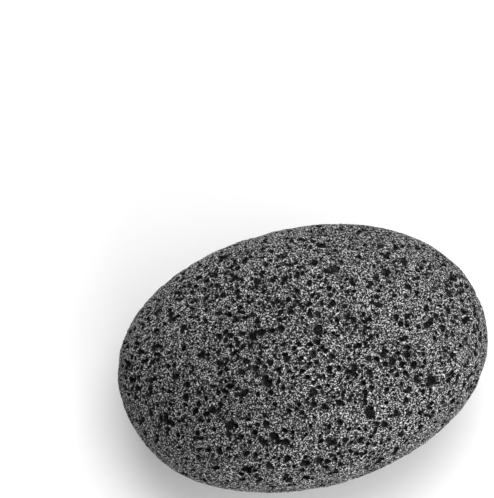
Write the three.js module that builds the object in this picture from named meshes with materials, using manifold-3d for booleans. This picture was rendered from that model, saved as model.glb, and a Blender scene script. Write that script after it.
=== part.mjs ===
// Pumice stone: a tumbled oval pebble of grey lava froth, pitted all over where its bubbles were cut open.
// It is one solid. Millimetres, +Z up, the floor at z = 0 under the middle of the stone.
import * as THREE from "three";
import { mergeVertices } from "three/addons/utils/BufferGeometryUtils.js";
import Module from "manifold-3d";

// Driving dimensions
const LENGTH = 95; // along X
const WIDTH = 67; // along Y
const THICKNESS = 44; // along Z
const FULLNESS = 2.1; // exponent of the oval: 2 is an ellipsoid, more is boxier
const WORN_FLAT = 0.6; // height worn off the underside, which leaves the flat that it rests on
const PEBBLE_DETAIL = 8; // subdivision of the pebble's ball

// Broad swells and hollows: [direction on the unit ball], height, spread
const SWELLS = [
  [[0.54, -0.84, 0], -0.8, 0.1],
  [[-0.96, -0.28, 0], -0.8, 0.06],
  [[-0.84, 0.54, 0], 0.4, 0.1],
  [[-0.45, -0.89, 0], -0.6, 0.05],
  [[0.35, -0.15, 0.92], 0.6, 0.15],
  [[-0.55, 0.4, 0.73], -0.5, 0.12],
  [[0.5, 0.4, -0.77], 0.5, 0.12],
];

// The largest pits of the upper face, as seen: x and y from the middle, width of the mouth
const SEEN_PITS = [
  // The end at +X
  [28.5, -16.5, 2.5], [31.5, -2.5, 2.2], [34, -5, 1.9], [37, 0, 1.9], [26.5, -22.5, 1.8],
  [41, 8.5, 1.8], [35.5, 12, 1.8], [26.5, -24.5, 1.7], [41, -14.5, 1.7], [38.5, 2.5, 1.7],
  [28, 7.5, 1.7], [29.5, 14.5, 1.7],
  // Towards +Y
  [7.5, 14.5, 2], [7.5, 19, 2], [9, 7, 1.8], [0.5, 23, 1.8], [-4, 27, 1.8],
  [24.5, 12.5, 1.7], [13, 9, 1.7], [11, 23.5, 1.7], [-1, 16.5, 1.7], [-1.5, 7.5, 1.7],
  [-13, 9, 1.7], [-21.5, 17.5, 1.7],
  // The middle
  [-12.5, 4, 2.2], [-11.5, -8.5, 2.2], [23, -5.5, 2], [21.5, -11.5, 1.9], [23, 0, 1.8],
  [17.5, -10.5, 1.8], [8.5, -10.5, 1.8], [4, -8.5, 1.8], [-0.5, -6.5, 1.8], [18.5, -12.5, 1.7],
  [23.5, -9, 1.7], [-2, -1, 1.7],
  // The end at -X
  [-20.5, 6.5, 2.1], [-44, 3, 2], [-28.5, 11.5, 1.9], [-30, 6, 1.9], [-34, 18, 1.9],
  [-33, 2.5, 1.8], [-30.5, 14.5, 1.7], [-35.5, -3.5, 1.7], [-31, -3, 1.7], [-22.5, -7.5, 1.7],
  // Towards -Y, nearer +X
  [11, -21.5, 2.6], [16, -30.5, 2.4], [17.5, -22.5, 1.9], [12, -25, 1.9], [7.5, -26.5, 1.9],
  [-2, -30.5, 1.9], [16.5, -16.5, 1.8], [11, -16, 1.8], [22, -17.5, 1.7], [23.5, -26.5, 1.7],
  [3.5, -21.5, 1.7],
  // Towards -Y, nearer -X
  [-21.5, -26.5, 2.6], [-23, -16, 2.5], [-7, -28.5, 2.3], [-7.5, -31.5, 2.3], [-13, -21, 2.2],
  [-16, -21.5, 2], [-17.5, -19, 2], [-21, -19, 1.9], [-11, -26.5, 1.9], [-28.5, -24, 1.9],
  [-10.5, -23, 1.8], [-20.5, -23, 1.8], [-27, -20.5, 1.8], [-15.5, -27, 1.7], [-27, -15.5, 1.7],
];

// Pits over the rest of the stone, drawn at random from a fixed seed
const DRAWN_PITS = 108;
const PIT_SEED = 7;
const SMALLEST_MOUTH = 1.3;
const LARGEST_MOUTH = 2.6;
const MOUTH_SPREAD = 0.3; // how fast wider mouths get rarer
const PIT_SPACING = 0.75; // least distance between two pits, as a share of their two widths
const BUBBLE_SINK = 0.25; // depth of a bubble's middle under the surface, as a share of its radius
const BUBBLE_STRETCH = 0.25; // most that a bubble is longer or shorter than a ball
const ROUND_FROM = 2.2; // pits with a mouth this wide have the rounder bubble
const COARSE_GROWTH = 1.1; // makes up for the corners that the coarser bubble lacks
const REST_CLEARANCE = 1.6; // no pit lower than this, so that the rest flat stays whole

const HALF = new THREE.Vector3(LENGTH / 2, WIDTH / 2, THICKNESS / 2);
const random = THREE.MathUtils.seededRandom;

// The point of the pebble's surface in a direction of the unit ball, its middle at the origin
function surfacePoint(direction) {
  const powers = direction.toArray().map((value) => Math.abs(value) ** FULLNESS);
  const reach = (powers[0] + powers[1] + powers[2]) ** (-1 / FULLNESS);
  const point = direction.clone().multiply(HALF).multiplyScalar(reach);
  let swell = 0;
  for (const [towards, height, spread] of SWELLS) {
    const nearness = direction.dot(new THREE.Vector3(...towards).normalize());
    swell += height * Math.exp((nearness - 1) / spread);
  }
  return point.multiplyScalar(1 + swell / point.length());
}

// The direction of the unit ball whose surface point is at x, y on the upper face
function upperDirection(x, y) {
  const across = new THREE.Vector2(x / HALF.x, y / HALF.y);
  const left = 1 - Math.abs(across.x) ** FULLNESS - Math.abs(across.y) ** FULLNESS;
  return new THREE.Vector3(across.x, across.y, Math.max(left, 0) ** (1 / FULLNESS)).normalize();
}

// A direction drawn evenly over the pebble's surface
function drawnDirection() {
  for (;;) {
    const height = 2 * random() - 1;
    const around = 2 * Math.PI * random();
    const ring = Math.sqrt(1 - height * height);
    const direction = new THREE.Vector3(ring * Math.cos(around), ring * Math.sin(around), height);
    const stretch = direction.clone().divide(HALF).length() * HALF.z;
    if (random() < stretch) return direction;
  }
}

// A pit: where its mouth is, how wide, and how its bubble is turned and stretched
function makePit(direction, mouth) {
  const turn = new THREE.Euler(6.28 * random(), 6.28 * random(), 6.28 * random());
  const stretch = new THREE.Vector3(random(), random(), random())
    .subScalar(0.5)
    .multiplyScalar(2 * BUBBLE_STRETCH)
    .addScalar(1);
  return { point: surfacePoint(direction), mouth, turn, stretch };
}

// All the pits, those seen first
function listPits() {
  random(PIT_SEED);
  const pits = SEEN_PITS.map(([x, y, mouth]) => makePit(upperDirection(x, y), mouth));
  const lowest = REST_CLEARANCE - HALF.z;
  while (pits.length < SEEN_PITS.length + DRAWN_PITS) {
    const rarity = -Math.log(1 - random());
    const mouth = Math.min(SMALLEST_MOUTH + MOUTH_SPREAD * rarity, LARGEST_MOUTH);
    const pit = makePit(drawnDirection(), mouth);
    const free = pits.every((other) => {
      const gap = PIT_SPACING * (other.mouth + mouth);
      return other.point.distanceTo(pit.point) > gap;
    });
    if (free && pit.point.z > lowest) pits.push(pit);
  }
  return pits;
}

const wasm = await Module();
wasm.setup();

// A closed solid from a geometry
function solid(geometry) {
  geometry.deleteAttribute("normal");
  geometry.deleteAttribute("uv");
  const merged = mergeVertices(geometry);
  const vertProperties = new Float32Array(merged.attributes.position.array);
  const triVerts = new Uint32Array(merged.index.array);
  return new wasm.Manifold(new wasm.Mesh({ numProp: 3, vertProperties, triVerts }));
}

// The pebble before its pits, worn flat underneath
function pebbleSolid() {
  const ball = new THREE.IcosahedronGeometry(1, PEBBLE_DETAIL);
  const positions = ball.attributes.position;
  for (let i = 0; i < positions.count; i++) {
    const point = surfacePoint(new THREE.Vector3().fromBufferAttribute(positions, i).normalize());
    positions.setXYZ(i, point.x, point.y, point.z);
  }
  const worn = new THREE.BoxGeometry(LENGTH, WIDTH, THICKNESS);
  worn.translate(0, 0, WORN_FLAT - THICKNESS);
  return solid(ball).subtract(solid(worn));
}

// The bubble that a pit is the open mouth of
function bubbleSolid({ point, mouth, turn, stretch }) {
  const coarse = mouth < ROUND_FROM;
  const radius = mouth / 2 / Math.sqrt(1 - BUBBLE_SINK * BUBBLE_SINK);
  const inward = point.clone().divide(HALF).divide(HALF).normalize().negate();
  const middle = point.clone().addScaledVector(inward, BUBBLE_SINK * radius);
  const bubble = new THREE.IcosahedronGeometry(coarse ? radius * COARSE_GROWTH : radius, coarse ? 0 : 1);
  const placed = new THREE.Matrix4().compose(middle, new THREE.Quaternion().setFromEuler(turn), stretch);
  bubble.applyMatrix4(placed);
  return solid(bubble);
}

// The stone: the pebble less every bubble
function stoneGeometry() {
  const bubbles = listPits().map(bubbleSolid).reduce((joined, bubble) => joined.add(bubble));
  const mesh = pebbleSolid().subtract(bubbles).getMesh();
  const geometry = new THREE.BufferGeometry();
  geometry.setAttribute("position", new THREE.BufferAttribute(mesh.vertProperties, 3));
  geometry.setIndex(new THREE.BufferAttribute(mesh.triVerts, 1));
  geometry.computeVertexNormals();
  return geometry;
}

const stone = new THREE.Mesh(
  stoneGeometry(),
  new THREE.MeshStandardMaterial({ color: "#6e6e6e", roughness: 0.95, metalness: 0 }),
);
stone.name = "stone";
stone.position.z = THICKNESS / 2 - WORN_FLAT;

const group = new THREE.Group();
group.add(stone);

export default group;
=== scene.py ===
"""Pumice stone: a tumbled oval pebble of grey lava froth, pitted all over where its bubbles were cut open."""
import math

import bmesh
import bpy
import numpy as np
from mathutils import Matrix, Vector


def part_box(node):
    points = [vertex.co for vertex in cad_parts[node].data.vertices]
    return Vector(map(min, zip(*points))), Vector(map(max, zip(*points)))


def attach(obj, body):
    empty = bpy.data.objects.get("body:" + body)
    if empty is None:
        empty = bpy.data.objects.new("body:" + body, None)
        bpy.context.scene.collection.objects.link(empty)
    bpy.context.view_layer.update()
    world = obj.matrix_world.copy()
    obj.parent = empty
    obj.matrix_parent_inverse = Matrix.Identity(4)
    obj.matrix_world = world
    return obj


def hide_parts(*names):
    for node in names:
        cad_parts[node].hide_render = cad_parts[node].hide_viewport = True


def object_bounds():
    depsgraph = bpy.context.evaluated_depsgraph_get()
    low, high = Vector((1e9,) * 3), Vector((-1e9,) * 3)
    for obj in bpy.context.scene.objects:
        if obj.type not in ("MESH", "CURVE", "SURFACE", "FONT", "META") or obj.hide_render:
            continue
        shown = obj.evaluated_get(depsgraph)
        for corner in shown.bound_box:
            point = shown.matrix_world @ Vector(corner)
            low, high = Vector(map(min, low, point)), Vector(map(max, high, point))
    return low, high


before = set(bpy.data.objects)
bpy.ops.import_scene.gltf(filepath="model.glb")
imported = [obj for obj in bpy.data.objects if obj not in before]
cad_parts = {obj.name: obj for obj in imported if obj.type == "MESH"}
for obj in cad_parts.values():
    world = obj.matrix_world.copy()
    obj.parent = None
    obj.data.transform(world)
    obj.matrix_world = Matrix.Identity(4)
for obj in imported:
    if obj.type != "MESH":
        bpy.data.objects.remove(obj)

bl_info = {
    "name": "Pumice Stone",
    "version": (1, 0, 0),
    "blender": (4, 5, 0),
    "location": "3D View > Sidebar > Pumice",
    "description": "Makes a pitted pumice stone, with its floor, lights and camera",
    "category": "Add Mesh",
}

MM = 0.001
CAD_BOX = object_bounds()

# The pebble's oval, as in the solid: an exponent of 2 is an ellipsoid, more is boxier
FULLNESS = 2.1

# Broad swells and hollows, as in the solid: direction on the unit ball, height in mm, spread
SWELLS = (
    ((0.54, -0.84, 0), -0.8, 0.1),
    ((-0.96, -0.28, 0), -0.8, 0.06),
    ((-0.84, 0.54, 0), 0.4, 0.1),
    ((-0.45, -0.89, 0), -0.6, 0.05),
    ((0.35, -0.15, 0.92), 0.6, 0.15),
    ((-0.55, 0.4, 0.73), -0.5, 0.12),
    ((0.5, 0.4, -0.77), 0.5, 0.12),
)

# The largest pits of the upper face, as in the solid: x and y from the middle, width of the mouth, in mm
SEEN_PITS = (
    # The end at +X
    (28.5, -16.5, 2.5), (31.5, -2.5, 2.2), (34, -5, 1.9), (37, 0, 1.9), (26.5, -22.5, 1.8),
    (41, 8.5, 1.8), (35.5, 12, 1.8), (26.5, -24.5, 1.7), (41, -14.5, 1.7), (38.5, 2.5, 1.7),
    (28, 7.5, 1.7), (29.5, 14.5, 1.7),
    # Towards +Y
    (7.5, 14.5, 2), (7.5, 19, 2), (9, 7, 1.8), (0.5, 23, 1.8), (-4, 27, 1.8),
    (24.5, 12.5, 1.7), (13, 9, 1.7), (11, 23.5, 1.7), (-1, 16.5, 1.7), (-1.5, 7.5, 1.7),
    (-13, 9, 1.7), (-21.5, 17.5, 1.7),
    # The middle
    (-12.5, 4, 2.2), (-11.5, -8.5, 2.2), (23, -5.5, 2), (21.5, -11.5, 1.9), (23, 0, 1.8),
    (17.5, -10.5, 1.8), (8.5, -10.5, 1.8), (4, -8.5, 1.8), (-0.5, -6.5, 1.8), (18.5, -12.5, 1.7),
    (23.5, -9, 1.7), (-2, -1, 1.7),
    # The end at -X
    (-20.5, 6.5, 2.1), (-44, 3, 2), (-28.5, 11.5, 1.9), (-30, 6, 1.9), (-34, 18, 1.9),
    (-33, 2.5, 1.8), (-30.5, 14.5, 1.7), (-35.5, -3.5, 1.7), (-31, -3, 1.7), (-22.5, -7.5, 1.7),
    # Towards -Y, nearer +X
    (11, -21.5, 2.6), (16, -30.5, 2.4), (17.5, -22.5, 1.9), (12, -25, 1.9), (7.5, -26.5, 1.9),
    (-2, -30.5, 1.9), (16.5, -16.5, 1.8), (11, -16, 1.8), (22, -17.5, 1.7), (23.5, -26.5, 1.7),
    (3.5, -21.5, 1.7),
    # Towards -Y, nearer -X
    (-21.5, -26.5, 2.6), (-23, -16, 2.5), (-7, -28.5, 2.3), (-7.5, -31.5, 2.3), (-13, -21, 2.2),
    (-16, -21.5, 2), (-17.5, -19, 2), (-21, -19, 1.9), (-11, -26.5, 1.9), (-28.5, -24, 1.9),
    (-10.5, -23, 1.8), (-20.5, -23, 1.8), (-27, -20.5, 1.8), (-15.5, -27, 1.7), (-27, -15.5, 1.7),
)

# How the other large pits are drawn, as in the solid, which has the first of them: the mouths, and the
# clearance from the foot of the unworn pebble, in mm; the spacing, sink and stretch as shares of a pit's
# size; the turn in radians
PIT_SEED = 7
SMALLEST_MOUTH = 1.3
LARGEST_MOUTH = 2.6
MOUTH_SPREAD = 0.3
REST_CLEARANCE = 1.6
PIT_SPACING = 0.75
BUBBLE_SINK = 0.25
BUBBLE_STRETCH = 0.25
FULL_TURN = 6.28
SOLID_PITS = 180

# How high the middles of the other pits' bubbles lie over the skin, as a share of their radius:
# the higher, the shallower
LOWEST_LEVEL = -0.45
HIGHEST_LEVEL = 0.6

# Small bubbles that break a large pit's rim: how many at most, their size as a share of its own,
# how far out they lie as a share of its radius, and a direction that no pit faces, to find its sides from
RIM_BUBBLES = 3
RIM_SHARES = (0.4, 0.85)
RIM_REACHES = (0.75, 1.25)
SIDEWAYS = (0.3, 0.5, 0.8)

# Kinds of bubble, from the roundest to the plainest, which is grown a little to make up for the corners
# that it lacks, and the widths in mm that part them
BUBBLE_KINDS = (
    ("GeometryNodeMeshIcoSphere", [("Radius", 1.0), ("Subdivisions", 2)]),
    ("GeometryNodeMeshIcoSphere", [("Radius", 1.0), ("Subdivisions", 1)]),
    ("GeometryNodeMeshUVSphere", [("Radius", 1.1), ("Segments", 5), ("Rings", 2)]),
)
WIDEST = 100
ROUND_FROM = 2.2
PLAIN_FROM = 1.3

# The lumpy shapes of each kind: how many, the seed that picks one for a pit, how lumpy they are,
# and the noise that the lumps come from, with its middle and its step from one shape to the next
BUBBLE_SHAPES = 5
PICK_SEED = 5
BUBBLE_LUMPS = 1.6
LUMP_SCALE = 1.1
LUMP_MIDDLE = (0.5, 0.5, 0.5)
LUMP_STEP = 7.3

# The fine pits: how much rarer the wider ones are, the bubble's radius as a share of the mouth, how high
# its middle lies over the skin and how much it is stretched, both as shares of its radius, and the seeds
FINE_RARITY = 1.8
FINE_RADIUS = 0.56
FINE_LEVELS = (-0.55, 0.15)
FINE_STRETCHES = (0.7, 1.3)
LEVEL_SEED = 13
STRETCH_SEED = 11
TURN_SEED = 12

# Patches with fewer or more of the fine pits: their size, the range of the noise that they come from,
# and the share of pits at its two ends
PATCH_SIZE = 12 * MM
PATCHES = (0.35, 0.65, 0.35, 1.65)

# Points closer than this become one, and a piece with fewer faces than this is a loose crumb
WELD = 0.0005 * MM
CRUMB_FACES = 1000

# Dents in the skin and chips in the rims: the point they go in towards, their size,
# and the range of the noise in which they deepen
STONE_MIDDLE = (0, 0, 0.5 * CAD_BOX[1][2])
DENT_SIZE = 5 * MM
DENT_NOISE = (0.5, 0.75)
CHIP_SIZE = 1.3 * MM
CHIP_NOISE = (0.3, 0.7)

# The share of a dent that counts as depth under the skin, which paints shade into the dents, and the angle
# from which an edge stays sharp
DENT_SHADE_SHARE = 0.3
SHARP_FROM = math.radians(50)

# The froth in the skin: its wide cells, its small cells and its grain. Real froth goes finer than this,
# and is drawn coarser so that it shows where a pixel is a quarter of a millimetre
WIDE_CELL = 1.1 * MM
SMALL_CELL = 0.55 * MM
GRAIN_SIZE = 0.4 * MM
GRAIN_ROUGHNESS = 0.6

# How pale the froth is: a range of each pattern, and of the depth that it is sunk under the skin, with the
# share of pale wall at its two ends. Froth sunk deeper is darker, partly for the dark unworn glass inside the
# pits and partly as painted shade in the hollows
WIDE_WALLS = (0.19, 0.27, 1, 0.05)
SMALL_WALLS = (0.08, 0.16, 1, 0.08)
SPECKS = (0.45, 0.56, 0.05, 1)
SUNK_SHADE = (0.02 * MM, 0.3 * MM, 1, 0.08)

# Worn rims: their radius, its samples, the cosine of the bend there with how pale it is,
# and the depth under the skin over which they fade
RIM_RADIUS = 0.1 * MM
RIM_SAMPLES = 6
RIM_BEND = (0.97, 0.8, 0, 0.3)
RIM_DEPTH = (0, 0.03 * MM, 1, 0)

# Broad tones: soft patches that differ at random, and painted shade, darkest at one place and paling with the
# distance from it
TONE_SIZE = 14 * MM
TONE_DETAIL = 2.0
TONES = (0.3, 0.7, 0.92, 1.08)
SHADED_PLACE = (-29 * MM, -12 * MM, 38 * MM)
SHADE_TONES = (0, 40 * MM, 0.62, 1.12)

# The surface: no gloss, and bumps as deep as the froth
ROUGHNESS = 0.95
SPECULAR = 0.2
BUMP_DEPTH = 0.3 * MM

# The unfolded stone: the gap round each side, as a share of the side, and the least that a corner lies ahead
# of the middle, which keeps the insides of pits from running off their side
UNFOLD_MARGIN = 0.03
LEAST_AHEAD = 0.1

# The floor is matt white paper, which takes a soft shadow and has no shine; the light from all round is dim
FLOOR_REACH = 3.0
FLOOR_COLOUR = "#f2f2f2"
FLOOR_ROUGHNESS = 0.9
SKY_STRENGTH = 0.25

# The camera's picture: its middle lies this far left of and above the middle of the stone
SENSOR_WIDTH = 36
AIM_LEFT = 16.7 * MM
AIM_UP = 26.0 * MM

# Soft lights, all of one size and distance: name, turn about Z from +X, angle above the floor,
# power in watts
LIGHT_SIZE = 0.7
LIGHT_DISTANCE = 0.8
LIGHTS = (
    ("overhead", math.radians(66), math.radians(62), 6.4),
    ("front", math.radians(-78), math.radians(22), 5.4),
    ("side", math.radians(-19), math.radians(45), 2.2),
)


def linear(colour):
    """Turn an sRGB hex colour into linear red, green and blue."""
    values = [int(colour[i : i + 2], 16) / 255 for i in (1, 3, 5)]
    return tuple(v / 12.92 if v <= 0.04045 else ((v + 0.055) / 1.055) ** 2.4 for v in values)


def add(tree, kind, inputs=(), **settings):
    """Add a node with its settings, and set or link its inputs, given as (name or number, value) pairs.

    A node given as a value stands for its first output.
    """
    node = tree.nodes.new(kind)
    for name, value in settings.items():
        setattr(node, name, value)
    for name, value in inputs:
        if isinstance(value, bpy.types.Node):
            value = value.outputs[0]
        if isinstance(value, bpy.types.NodeSocket):
            tree.links.new(value, node.inputs[name])
        else:
            node.inputs[name].default_value = value
    return node


class PumiceSettings(bpy.types.PropertyGroup):
    """Sizes and colours of the stone."""

    length: bpy.props.FloatProperty(
        name="Length", description="Size along X", default=95 * MM, unit="LENGTH"
    )
    width: bpy.props.FloatProperty(
        name="Width", description="Size along Y", default=67 * MM, unit="LENGTH"
    )
    thickness: bpy.props.FloatProperty(
        name="Thickness", description="Size along Z", default=44 * MM, unit="LENGTH"
    )
    worn_flat: bpy.props.FloatProperty(
        name="Worn flat", description="Height worn off the underside", default=0.6 * MM, unit="LENGTH"
    )
    skin_detail: bpy.props.IntProperty(
        name="Skin detail", description="Squares along each side of the cube it is made from", default=20
    )
    large_pits: bpy.props.IntProperty(
        name="Large pits", description="How many pits are over a millimetre or so wide", default=430
    )
    fine_pits: bpy.props.FloatProperty(
        name="Fine pits", description="How many fine pits there are on a square centimetre", default=29
    )
    fine_smallest: bpy.props.FloatProperty(
        name="Smallest fine pit", description="Width of the smallest", default=0.75 * MM, unit="LENGTH"
    )
    fine_largest: bpy.props.FloatProperty(
        name="Largest fine pit", description="Width of the largest", default=1.8 * MM, unit="LENGTH"
    )
    dent_depth: bpy.props.FloatProperty(
        name="Dent depth", description="Depth of the skin's shallow dents", default=0.4 * MM, unit="LENGTH"
    )
    chip_depth: bpy.props.FloatProperty(
        name="Chip depth", description="Depth of the chips in the rims", default=0.25 * MM, unit="LENGTH"
    )
    seed: bpy.props.IntProperty(name="Seed", description="Seed of the fine pits", default=3)
    wall: bpy.props.FloatVectorProperty(
        name="Wall", description="Colour of the worn walls", default=linear("#dadada"), subtype="COLOR"
    )
    # Dark unworn glass inside the pits, deepened into painted shade
    hollow_shade: bpy.props.FloatVectorProperty(
        name="Hollow", description="Colour inside the pits", default=linear("#060606"), subtype="COLOR"
    )


class StageSettings(bpy.types.PropertyGroup):
    """The camera and the light."""

    azimuth: bpy.props.FloatProperty(
        name="Azimuth", description="Camera's turn about Z", default=math.radians(-19.25), subtype="ANGLE"
    )
    elevation: bpy.props.FloatProperty(
        name="Elevation", description="Camera's angle above the floor",
        default=math.radians(77), subtype="ANGLE",
    )
    distance: bpy.props.FloatProperty(
        name="Distance", description="From the camera to the stone", default=0.7005, unit="LENGTH"
    )
    lens: bpy.props.FloatProperty(name="Lens", description="Focal length", default=200, unit="CAMERA")


def seeded(seed):
    """Give numbers from 0 to 1 without end, the same as the solid's: the mulberry32 generator."""
    mask = 0xFFFFFFFF
    state = seed
    while True:
        state = (state + 0x6D2B79F5) & mask
        mixed = ((state ^ (state >> 15)) * (state | 1)) & mask
        mixed ^= (mixed + (mixed ^ (mixed >> 7)) * (mixed | 61)) & mask
        yield ((mixed ^ (mixed >> 14)) & mask) / 2**32


def half_sizes(settings):
    """Half the pebble's length, width and thickness, in mm."""
    return np.array((settings.length, settings.width, settings.thickness)) / 2 / MM


def surface_points(directions, half):
    """Points of the pebble's surface in directions of the unit ball, in mm from its middle."""
    reach = (np.abs(directions) ** FULLNESS).sum(axis=1) ** (-1 / FULLNESS)
    points = directions * half * reach[:, None]
    swell = np.zeros(len(points))
    for towards, height, spread in SWELLS:
        nearness = directions @ (np.array(towards) / np.linalg.norm(towards))
        swell += height * np.exp((nearness - 1) / spread)
    return points * (1 + swell / np.linalg.norm(points, axis=1))[:, None]


def upper_direction(x, y, half):
    """The direction of the unit ball whose surface point is at x, y on the upper face."""
    across = np.array((x, y)) / half[:2]
    left = 1 - (np.abs(across) ** FULLNESS).sum()
    direction = np.array((*across, max(left, 0) ** (1 / FULLNESS)))
    return direction / np.linalg.norm(direction)


def drawn_direction(numbers, half):
    """A direction drawn evenly over the pebble's surface."""
    while True:
        height = 2 * next(numbers) - 1
        around = 2 * math.pi * next(numbers)
        ring = math.sqrt(1 - height * height)
        direction = np.array((ring * math.cos(around), ring * math.sin(around), height))
        if next(numbers) < np.linalg.norm(direction / half) * half[2]:
            return direction


def make_pit(direction, mouth, numbers, half):
    """A pit: the place of its mouth, how wide it is, and how its bubble is turned and stretched."""
    turn = [FULL_TURN * next(numbers) for _ in range(3)]
    stretch = [1 + 2 * BUBBLE_STRETCH * (next(numbers) - 0.5) for _ in range(3)]
    return surface_points(direction[None], half)[0], mouth, turn, stretch


def list_pits(count, half):
    """The large pits: those seen first, then those drawn."""
    numbers = seeded(PIT_SEED)
    pits = [make_pit(upper_direction(x, y, half), mouth, numbers, half) for x, y, mouth in SEEN_PITS]
    lowest = REST_CLEARANCE - half[2]
    while len(pits) < count:
        rarity = -math.log(1 - next(numbers))
        mouth = min(SMALLEST_MOUTH + MOUTH_SPREAD * rarity, LARGEST_MOUTH)
        pit = make_pit(drawn_direction(numbers, half), mouth, numbers, half)
        places = np.array([other[0] for other in pits])
        gaps = PIT_SPACING * (np.array([other[1] for other in pits]) + mouth)
        free = (np.linalg.norm(places - pit[0], axis=1) > gaps).all()
        if free and pit[0][2] > lowest:
            pits.append(pit)
    return pits


def rim_pits(pits, half):
    """Small pits that break the rims of the large ones, drawn after them."""
    numbers = seeded(PIT_SEED + 1)
    broken = []
    for place, mouth, _, _ in pits:
        outward = place / half**2
        side = np.cross(outward, SIDEWAYS)
        side /= np.linalg.norm(side)
        along = np.cross(outward / np.linalg.norm(outward), side)
        for _ in range(int((RIM_BUBBLES + 1) * next(numbers))):
            share = RIM_SHARES[0] + (RIM_SHARES[1] - RIM_SHARES[0]) * next(numbers)
            around = 2 * math.pi * next(numbers)
            reach = mouth / 2 * (RIM_REACHES[0] + (RIM_REACHES[1] - RIM_REACHES[0]) * next(numbers))
            shift = reach * (math.cos(around) * side + math.sin(around) * along)
            direction = (place + shift) / half
            direction /= np.linalg.norm(direction)
            broken.append(make_pit(direction, mouth * share, numbers, half))
    return [pit for pit in broken if pit[0][2] > REST_CLEARANCE - half[2]]


def bubble_points(settings):
    """Loose points in the middles of the large pits' bubbles, each with its radius, turn and stretch."""
    half = half_sizes(settings)
    pits = list_pits(settings.large_pits, half)
    pits += rim_pits(pits, half)
    numbers = seeded(PIT_SEED + 2)
    levels = [-BUBBLE_SINK] * SOLID_PITS
    while len(levels) < len(pits):
        levels.append(LOWEST_LEVEL + (HIGHEST_LEVEL - LOWEST_LEVEL) * next(numbers))
    levels = np.array(levels)
    places = np.array([pit[0] for pit in pits])
    radii = np.array([pit[1] for pit in pits]) / 2 / np.sqrt(1 - levels**2)
    outward = places / half**2
    outward /= np.linalg.norm(outward, axis=1)[:, None]
    middles = places + outward * (levels * radii)[:, None]
    middles[:, 2] += half[2] - settings.worn_flat / MM
    mesh = bpy.data.meshes.new("bubbles")
    mesh.from_pydata((middles * MM).tolist(), [], [])
    mesh.attributes.new("radius", "FLOAT", "POINT").data.foreach_set("value", radii * MM)
    for name, values in (("turn", [pit[2] for pit in pits]), ("stretch", [pit[3] for pit in pits])):
        mesh.attributes.new(name, "FLOAT_VECTOR", "POINT").data.foreach_set("vector", np.ravel(values))
    return bpy.data.objects.new("bubbles", mesh)


def pebble(settings):
    """The pebble before its pits, worn flat underneath: a cube, its squares spread evenly over a ball."""
    half = half_sizes(settings)
    shape = bmesh.new()
    bmesh.ops.create_cube(shape, size=2)
    bmesh.ops.subdivide_edges(shape, edges=shape.edges, cuts=settings.skin_detail - 1, use_grid_fill=True)
    bmesh.ops.triangulate(shape, faces=shape.faces)
    mesh = bpy.data.meshes.new("stone")
    shape.to_mesh(mesh)
    shape.free()
    corners = np.empty(len(mesh.vertices) * 3)
    mesh.vertices.foreach_get("co", corners)
    directions = np.tan(corners.reshape(-1, 3) * math.pi / 4)
    directions /= np.linalg.norm(directions, axis=1)[:, None]
    points = surface_points(directions, half)
    points[:, 2] = np.maximum(points[:, 2] + half[2] - settings.worn_flat / MM, 0)
    mesh.vertices.foreach_set("co", np.ravel(points * MM))
    mesh.update()
    stone = bpy.data.objects.new("pumice_stone", mesh)
    bpy.context.collection.objects.link(stone)
    return stone


def lumpy_balls(tree, maker, detail):
    """The lumpy shapes of one kind of bubble, to pick from."""
    shapes = add(tree, "GeometryNodeJoinGeometry")
    for shape in range(BUBBLE_SHAPES):
        ball = add(tree, maker, detail)
        inputs = [("W", LUMP_STEP * shape), ("Scale", LUMP_SCALE), ("Detail", 1.0)]
        lumps = add(tree, "ShaderNodeTexNoise", inputs, noise_dimensions="4D").outputs["Color"]
        away = add(tree, "ShaderNodeVectorMath", [(0, lumps), (1, LUMP_MIDDLE)], operation="SUBTRACT")
        bulge = add(tree, "ShaderNodeVectorMath", [(0, away), ("Scale", BUBBLE_LUMPS)], operation="SCALE")
        lumpy = add(tree, "GeometryNodeSetPosition", [("Geometry", ball), ("Offset", bulge)])
        single = add(tree, "GeometryNodeGeometryToInstance", [("Geometry", lumpy)])
        tree.links.new(single.outputs["Instances"], shapes.inputs["Geometry"])
    return shapes


def place_bubbles(tree, points, radius, euler, stretch, kinds):
    """Put a bubble on each point, of the kind for its radius, turned and stretched."""
    turn = add(tree, "FunctionNodeEulerToRotation", [("Euler", euler)])
    size = add(tree, "ShaderNodeVectorMath", [(0, stretch), ("Scale", radius)], operation="SCALE")
    limits = [(4, 0), (5, BUBBLE_SHAPES - 1), ("Seed", PICK_SEED)]
    pick = add(tree, "FunctionNodeRandomValue", limits, data_type="INT").outputs[2]
    widths = ((ROUND_FROM, WIDEST), (PLAIN_FROM, ROUND_FROM), (0, PLAIN_FROM))
    placed = []
    for kind, (least, most) in zip(kinds, widths):
        over = add(
            tree, "FunctionNodeCompare", [(0, radius), (1, least * MM / 2)],
            data_type="FLOAT", operation="GREATER_EQUAL",
        )
        under = add(
            tree, "FunctionNodeCompare", [(0, radius), (1, most * MM / 2)],
            data_type="FLOAT", operation="LESS_THAN",
        )
        both = add(tree, "FunctionNodeBooleanMath", [(0, over), (1, under)], operation="AND")
        inputs = [
            ("Points", points), ("Selection", both), ("Instance", kind), ("Pick Instance", True),
            ("Instance Index", pick), ("Rotation", turn), ("Scale", size),
        ]
        placed.append(add(tree, "GeometryNodeInstanceOnPoints", inputs))
    return placed


def large_bubbles(tree, given, kinds):
    """The large bubbles, at the points given."""
    source = [("Object", given["Large bubbles"])]
    points = add(tree, "GeometryNodeObjectInfo", source, transform_space="RELATIVE").outputs["Geometry"]
    radius = add(tree, "GeometryNodeInputNamedAttribute", [("Name", "radius")], data_type="FLOAT")
    turn = add(tree, "GeometryNodeInputNamedAttribute", [("Name", "turn")], data_type="FLOAT_VECTOR")
    stretch = add(tree, "GeometryNodeInputNamedAttribute", [("Name", "stretch")], data_type="FLOAT_VECTOR")
    return place_bubbles(tree, points, radius, turn, stretch, kinds)


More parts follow.
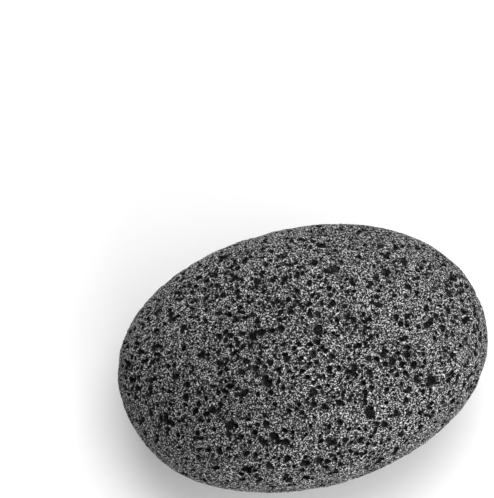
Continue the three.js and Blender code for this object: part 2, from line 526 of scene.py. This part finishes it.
def fine_bubbles(tree, given, kinds):
    """The fine bubbles, thicker in some places than in others, cut open at different depths."""
    patches = add(tree, "ShaderNodeTexNoise", [("Scale", 1 / PATCH_SIZE), ("Detail", 1.0)])
    crowding = add(tree, "ShaderNodeMapRange", enumerate((patches, *PATCHES)))
    density = add(tree, "ShaderNodeMath", [(0, crowding), (1, given["Fine density"])], operation="MULTIPLY")
    scatter = add(
        tree, "GeometryNodeDistributePointsOnFaces",
        [("Mesh", given["Pebble"]), ("Density", density), ("Seed", given["Seed"])],
        distribute_method="RANDOM",
    )

    # Wider ones are rarer
    limits = [(2, 0.0), (3, 1.0), ("Seed", given["Seed"])]
    chance = add(tree, "FunctionNodeRandomValue", limits, data_type="FLOAT").outputs[1]
    rare = add(tree, "ShaderNodeMath", [(0, chance), (1, FINE_RARITY)], operation="POWER")
    sizes = [("Value", rare), ("To Min", given["Fine smallest"]), ("To Max", given["Fine largest"])]
    mouth = add(tree, "ShaderNodeMapRange", sizes)
    radius = add(tree, "ShaderNodeMath", [(0, mouth), (1, FINE_RADIUS)], operation="MULTIPLY")

    # Raised or sunk, turned and stretched, each in its own way
    limits = [(2, FINE_LEVELS[0]), (3, FINE_LEVELS[1]), ("Seed", LEVEL_SEED)]
    level = add(tree, "FunctionNodeRandomValue", limits, data_type="FLOAT").outputs[1]
    lift = add(tree, "ShaderNodeMath", [(0, level), (1, radius)], operation="MULTIPLY")
    upward = [(0, scatter.outputs["Normal"]), ("Scale", lift)]
    rise = add(tree, "ShaderNodeVectorMath", upward, operation="SCALE")
    points = add(tree, "GeometryNodeSetPosition", [("Geometry", scatter), ("Offset", rise)])
    limits = [(0, (0, 0, 0)), (1, [FULL_TURN] * 3), ("Seed", TURN_SEED)]
    turn = add(tree, "FunctionNodeRandomValue", limits, data_type="FLOAT_VECTOR")
    limits = [(0, [FINE_STRETCHES[0]] * 3), (1, [FINE_STRETCHES[1]] * 3), ("Seed", STRETCH_SEED)]
    stretch = add(tree, "FunctionNodeRandomValue", limits, data_type="FLOAT_VECTOR")
    return place_bubbles(tree, points, radius, turn, stretch, kinds)


def cut_open(tree, pebble_mesh, cutters):
    """The pebble less all the bubbles, and less the crumbs left loose between them."""
    cut = add(
        tree, "GeometryNodeMeshBoolean",
        [("Mesh 1", pebble_mesh)] + [("Mesh 2", cutter) for cutter in cutters],
        operation="DIFFERENCE", solver="MANIFOLD",
    )
    welded = add(tree, "GeometryNodeMergeByDistance", [("Geometry", cut), ("Distance", WELD)])
    island = add(tree, "GeometryNodeInputMeshIsland")
    faces = add(
        tree, "GeometryNodeAccumulateField", [("Value", 1), ("Group ID", island)],
        data_type="INT", domain="FACE",
    )
    loose = add(
        tree, "FunctionNodeCompare", [(2, faces.outputs["Total"]), (3, CRUMB_FACES)],
        data_type="INT", operation="LESS_THAN",
    )
    inputs = [("Geometry", welded), ("Selection", loose)]
    whole = add(tree, "GeometryNodeDeleteGeometry", inputs, domain="FACE")
    return add(tree, "GeometryNodeTriangulate", [("Mesh", whole)])


def weathered(tree, given, stone):
    """The stone with dents and chipped rims, all inwards; its points keep their depth under the skin, with a
    share of each dent added, which the material turns into painted shade.
    """
    kinds = (
        (DENT_SIZE, DENT_NOISE, given["Dent depth"]),
        (CHIP_SIZE, CHIP_NOISE, given["Chip depth"]),
    )
    sunk = []
    for size, deepening, most in kinds:
        noise = add(tree, "ShaderNodeTexNoise", [("Scale", 1 / size), ("Detail", 1.0)])
        sunk.append(add(tree, "ShaderNodeMapRange", enumerate((noise, *deepening, 0, most))))
    inset = add(tree, "ShaderNodeMath", enumerate(sunk), operation="ADD")
    place = add(tree, "GeometryNodeInputPosition")
    inwards = add(tree, "ShaderNodeVectorMath", [(0, STONE_MIDDLE), (1, place)], operation="SUBTRACT")
    inwards = add(tree, "ShaderNodeVectorMath", [(0, inwards)], operation="NORMALIZE")
    push = add(tree, "ShaderNodeVectorMath", [(0, inwards), ("Scale", inset)], operation="SCALE")
    near = add(tree, "GeometryNodeProximity", [("Geometry", given["Pebble"])], target_element="FACES")
    # Depth under the skin with a share of each dent added, so that the dents get painted shade
    parts = [(0, sunk[0]), (1, DENT_SHADE_SHARE), (2, near.outputs["Distance"])]
    depth = add(tree, "ShaderNodeMath", parts, operation="MULTIPLY_ADD")
    marked = add(
        tree, "GeometryNodeStoreNamedAttribute", [("Geometry", stone), ("Name", "depth"), ("Value", depth)],
        data_type="FLOAT", domain="POINT",
    )
    return add(tree, "GeometryNodeSetPosition", [("Geometry", marked), ("Offset", push)])


def shaded(tree, stone):
    """The stone shaded smooth but for its sharp edges."""
    smooth = add(tree, "GeometryNodeSetShadeSmooth", [("Geometry", stone)], domain="FACE")
    angle = add(tree, "GeometryNodeInputMeshEdgeAngle")
    soft = add(
        tree, "FunctionNodeCompare", [(0, angle), (1, SHARP_FROM)], data_type="FLOAT", operation="LESS_THAN"
    )
    inputs = [("Geometry", smooth), ("Shade Smooth", soft)]
    return add(tree, "GeometryNodeSetShadeSmooth", inputs, domain="EDGE")


def open_bubbles_tree():
    """Geometry nodes that cut bubbles open in a pebble: the large ones given, and fine ones all over it."""
    tree = bpy.data.node_groups.new("Open bubbles", "GeometryNodeTree")
    sockets = {}
    for name, kind in (
        ("Pebble", "Geometry"), ("Large bubbles", "Object"),
        ("Fine density", "Float"), ("Fine smallest", "Float"), ("Fine largest", "Float"),
        ("Dent depth", "Float"), ("Chip depth", "Float"), ("Seed", "Int"), ("Material", "Material"),
    ):
        socket = tree.interface.new_socket(name, in_out="INPUT", socket_type=f"NodeSocket{kind}")
        sockets[name] = socket.identifier
    tree.interface.new_socket("Stone", in_out="OUTPUT", socket_type="NodeSocketGeometry")
    given = add(tree, "NodeGroupInput").outputs

    kinds = [lumpy_balls(tree, maker, detail) for maker, detail in BUBBLE_KINDS]
    cutters = large_bubbles(tree, given, kinds) + fine_bubbles(tree, given, kinds)
    stone = shaded(tree, weathered(tree, given, cut_open(tree, given["Pebble"], cutters)))
    realized = add(tree, "GeometryNodeRealizeInstances", [("Geometry", stone)])
    finished = add(
        tree, "GeometryNodeSetMaterial", [("Geometry", realized), ("Material", given["Material"])]
    )
    add(tree, "NodeGroupOutput", [("Stone", finished)])
    return tree, sockets


def rim_wear(tree, depth):
    """How pale the worn rims are: a line where the skin breaks off into a pit."""
    rounded = add(tree, "ShaderNodeBevel", [("Radius", RIM_RADIUS)], samples=RIM_SAMPLES)
    facing = add(tree, "ShaderNodeNewGeometry").outputs["Normal"]
    bend = add(tree, "ShaderNodeVectorMath", [(0, rounded), (1, facing)], operation="DOT_PRODUCT")
    rim = add(tree, "ShaderNodeMapRange", enumerate((bend.outputs["Value"], *RIM_BEND)))
    skin = add(tree, "ShaderNodeMapRange", enumerate((depth, *RIM_DEPTH)))
    return add(tree, "ShaderNodeMath", [(0, rim), (1, skin)], operation="MULTIPLY")


def tone_and_painted_shade(tree, place):
    """How light the froth is in broad areas: soft patches, and painted shade round one place."""
    inputs = [("Vector", place), ("Scale", 1 / TONE_SIZE), ("Detail", TONE_DETAIL)]
    patches = add(tree, "ShaderNodeTexNoise", inputs)
    tone = add(tree, "ShaderNodeMapRange", enumerate((patches, *TONES)))
    # Painted shade: darkest at one place of the stone, paling away from it
    away = add(tree, "ShaderNodeVectorMath", [(0, place), (1, SHADED_PLACE)], operation="DISTANCE")
    painted_shade = add(
        tree, "ShaderNodeMapRange", enumerate((away.outputs["Value"], *SHADE_TONES)),
        interpolation_type="SMOOTHSTEP",
    )
    return add(tree, "ShaderNodeMath", [(0, tone), (1, painted_shade)], operation="MULTIPLY")


def pumice_material(settings):
    """Grey lava pumice, tumbled: rough, with no gloss, its worn walls pale with dust, its hollows dark with
    unworn glass and painted shade.
    """
    material = bpy.data.materials.new("grey_lava_pumice")
    material.use_nodes = True
    tree = material.node_tree
    shader = tree.nodes["Principled BSDF"]
    shader.inputs["Roughness"].default_value = ROUGHNESS
    shader.inputs["Specular IOR Level"].default_value = SPECULAR
    place = add(tree, "ShaderNodeTexCoord").outputs["Object"]
    depth = add(tree, "ShaderNodeAttribute", attribute_name="depth").outputs["Fac"]

    # Froth too fine to model: each cell a dark hollow with a pale broken wall round it
    layers = []
    for size, paleness in ((WIDE_CELL, WIDE_WALLS), (SMALL_CELL, SMALL_WALLS)):
        inputs = [("Vector", place), ("Scale", 1 / size)]
        cells = add(tree, "ShaderNodeTexVoronoi", inputs, feature="DISTANCE_TO_EDGE").outputs["Distance"]
        layers.append(add(tree, "ShaderNodeMapRange", enumerate((cells, *paleness))))
    walls = add(tree, "ShaderNodeMath", enumerate(layers), operation="MULTIPLY")
    inputs = [("Vector", place), ("Scale", 1 / GRAIN_SIZE), ("Detail", 1.0), ("Roughness", GRAIN_ROUGHNESS)]
    grain = add(tree, "ShaderNodeTexNoise", inputs)
    specks = add(tree, "ShaderNodeMapRange", enumerate((grain, *SPECKS)))
    pale = add(tree, "ShaderNodeMath", [(0, walls), (1, specks)], operation="MULTIPLY")

    # Darker the deeper it lies in a pit, and in the dents, partly dark unworn glass and partly painted shade,
    # but for the worn rims
    sunk = add(tree, "ShaderNodeMapRange", enumerate((depth, *SUNK_SHADE)))
    worn_with_shade = add(tree, "ShaderNodeMath", [(0, pale), (1, sunk)], operation="MULTIPLY")
    paler = add(tree, "ShaderNodeMath", [(0, worn_with_shade), (1, rim_wear(tree, depth))], operation="MAXIMUM")
    # The hollow colour carries painted shade as well as the dark glass
    colours = [(0, paler), (6, (*settings.hollow_shade, 1)), (7, (*settings.wall, 1))]
    froth = add(tree, "ShaderNodeMix", colours, data_type="RGBA").outputs[2]
    # The froth's colour times the broad tones, which hold painted shade
    toned = [(0, froth), ("Scale", tone_and_painted_shade(tree, place))]
    colour = add(tree, "ShaderNodeVectorMath", toned, operation="SCALE")
    tree.links.new(colour.outputs[0], shader.inputs["Base Color"])

    bump = add(tree, "ShaderNodeBump", [("Height", pale), ("Strength", 1.0), ("Distance", BUMP_DEPTH)])
    tree.links.new(bump.outputs["Normal"], shader.inputs["Normal"])
    return material


def unfold(mesh, settings):
    """Lay the stone's faces out on a UV map, as the six sides of a cube around it, three by two."""
    half = half_sizes(settings) * MM
    middle = np.array((0, 0, half[2] - settings.worn_flat))
    corners = np.empty(len(mesh.vertices) * 3)
    mesh.vertices.foreach_get("co", corners)
    directions = (corners.reshape(-1, 3) - middle) / half
    loops = np.empty(len(mesh.loops), dtype=np.int32)
    mesh.loops.foreach_get("vertex_index", loops)
    faces = directions[loops].reshape(-1, 3, 3)
    centres = faces.mean(axis=1)
    axes = np.abs(centres).argmax(axis=1)
    rows = np.arange(len(faces))
    signs = np.sign(centres[rows, axes])
    ahead = (faces[rows, :, axes] * signs[:, None]).clip(LEAST_AHEAD)
    across = faces[rows, :, (axes + 1) % 3] / ahead
    along = faces[rows, :, (axes + 2) % 3] * signs[:, None] / ahead
    spread = np.arctan(np.stack((across, along), axis=2)) * 4 / math.pi
    cells = np.stack((axes, signs > 0), axis=1)[:, None, :]
    places = (cells + 0.5 + spread * (0.5 - UNFOLD_MARGIN)) / (3, 2)
    layer = mesh.uv_layers.new(name="OFBake")
    layer.data.foreach_set("uv", places.astype(np.float32).ravel())


class PUMICE_OT_stone(bpy.types.Operator):
    """Make the stone: the pebble, cut open by its bubbles"""

    bl_idname = "object.pumice_stone"
    bl_label = "Pumice stone"

    def execute(self, context):
        settings = context.scene.pumice
        stone = pebble(settings)
        points = bubble_points(settings)
        tree, sockets = open_bubbles_tree()
        modifier = stone.modifiers.new("Open bubbles", "NODES")
        modifier.node_group = tree
        modifier[sockets["Large bubbles"]] = points
        modifier[sockets["Fine density"]] = settings.fine_pits / (10 * MM) ** 2
        modifier[sockets["Fine smallest"]] = settings.fine_smallest
        modifier[sockets["Fine largest"]] = settings.fine_largest
        modifier[sockets["Dent depth"]] = settings.dent_depth
        modifier[sockets["Chip depth"]] = settings.chip_depth
        modifier[sockets["Seed"]] = settings.seed
        modifier[sockets["Material"]] = pumice_material(settings)
        evaluated = stone.evaluated_get(context.evaluated_depsgraph_get())
        stone_mesh = bpy.data.meshes.new_from_object(evaluated)
        stone.modifiers.clear()
        stone.data = stone_mesh
        unfold(stone_mesh, settings)
        bpy.data.objects.remove(points)
        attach(stone, "root")
        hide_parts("stone")
        return {"FINISHED"}


class PUMICE_OT_stage(bpy.types.Operator):
    """Make the floor, the lights and the camera"""

    bl_idname = "scene.pumice_stage"
    bl_label = "Floor, lights and camera"

    def execute(self, context):
        stage = context.scene.pumice_stage
        scene = context.scene
        scene.view_settings.view_transform = "Standard"

        floor_mesh = bpy.data.meshes.new("floor")
        signs = ((-1, -1), (1, -1), (1, 1), (-1, 1))
        floor_mesh.from_pydata([(x * FLOOR_REACH, y * FLOOR_REACH, 0) for x, y in signs], [], [(0, 1, 2, 3)])
        floor = bpy.data.objects.new("floor", floor_mesh)
        context.collection.objects.link(floor)
        paint = bpy.data.materials.new("white_paper")
        paint.use_nodes = True
        shader = paint.node_tree.nodes["Principled BSDF"]
        shader.inputs["Base Color"].default_value = (*linear(FLOOR_COLOUR), 1)
        shader.inputs["Roughness"].default_value = FLOOR_ROUGHNESS
        floor_mesh.materials.append(paint)

        low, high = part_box("stone")
        middle = (low + high) / 2
        back = Vector((
            math.sin(stage.azimuth) * math.cos(stage.elevation),
            -math.cos(stage.azimuth) * math.cos(stage.elevation),
            math.sin(stage.elevation),
        ))
        camera_data = bpy.data.cameras.new("camera")
        camera_data.lens = stage.lens
        camera_data.sensor_width = SENSOR_WIDTH
        camera = bpy.data.objects.new("camera", camera_data)
        context.collection.objects.link(camera)
        scene.camera = camera
        right = Vector((math.cos(stage.azimuth), math.sin(stage.azimuth), 0))
        up = back.cross(right)
        aim = middle - right * AIM_LEFT + up * AIM_UP
        camera.location = middle + back * stage.distance
        camera.rotation_euler = (aim - camera.location).to_track_quat("-Z", "Y").to_euler()

        world = bpy.data.worlds.new("studio")
        world.use_nodes = True
        sky = world.node_tree.nodes["Background"]
        sky.inputs["Color"].default_value = (1, 1, 1, 1)
        sky.inputs["Strength"].default_value = SKY_STRENGTH
        scene.world = world
        for name, turn, height, power in LIGHTS:
            light_data = bpy.data.lights.new(name, "AREA")
            light_data.size = LIGHT_SIZE
            light_data.energy = power
            light = bpy.data.objects.new(name, light_data)
            level = math.cos(height)
            towards = Vector((level * math.cos(turn), level * math.sin(turn), math.sin(height)))
            light.location = middle + towards * LIGHT_DISTANCE
            light.rotation_euler = towards.to_track_quat("Z", "Y").to_euler()
            context.collection.objects.link(light)
        return {"FINISHED"}


class PUMICE_PT_panel(bpy.types.Panel):
    """The stone's settings and its two makers"""

    bl_label = "Pumice stone"
    bl_idname = "PUMICE_PT_panel"
    bl_space_type = "VIEW_3D"
    bl_region_type = "UI"
    bl_category = "Pumice"

    def draw(self, context):
        for settings in (context.scene.pumice, context.scene.pumice_stage):
            for name in settings.__annotations__:
                self.layout.prop(settings, name)
        self.layout.operator(PUMICE_OT_stone.bl_idname)
        self.layout.operator(PUMICE_OT_stage.bl_idname)


CLASSES = (PumiceSettings, StageSettings, PUMICE_OT_stone, PUMICE_OT_stage, PUMICE_PT_panel)


def register():
    for cls in CLASSES:
        bpy.utils.register_class(cls)
    bpy.types.Scene.pumice = bpy.props.PointerProperty(type=PumiceSettings)
    bpy.types.Scene.pumice_stage = bpy.props.PointerProperty(type=StageSettings)


def unregister():
    del bpy.types.Scene.pumice_stage
    del bpy.types.Scene.pumice
    for cls in reversed(CLASSES):
        bpy.utils.unregister_class(cls)


def main():
    register()
    bpy.ops.object.pumice_stone()
    bpy.ops.scene.pumice_stage()


if __name__ == "__main__":
    main()
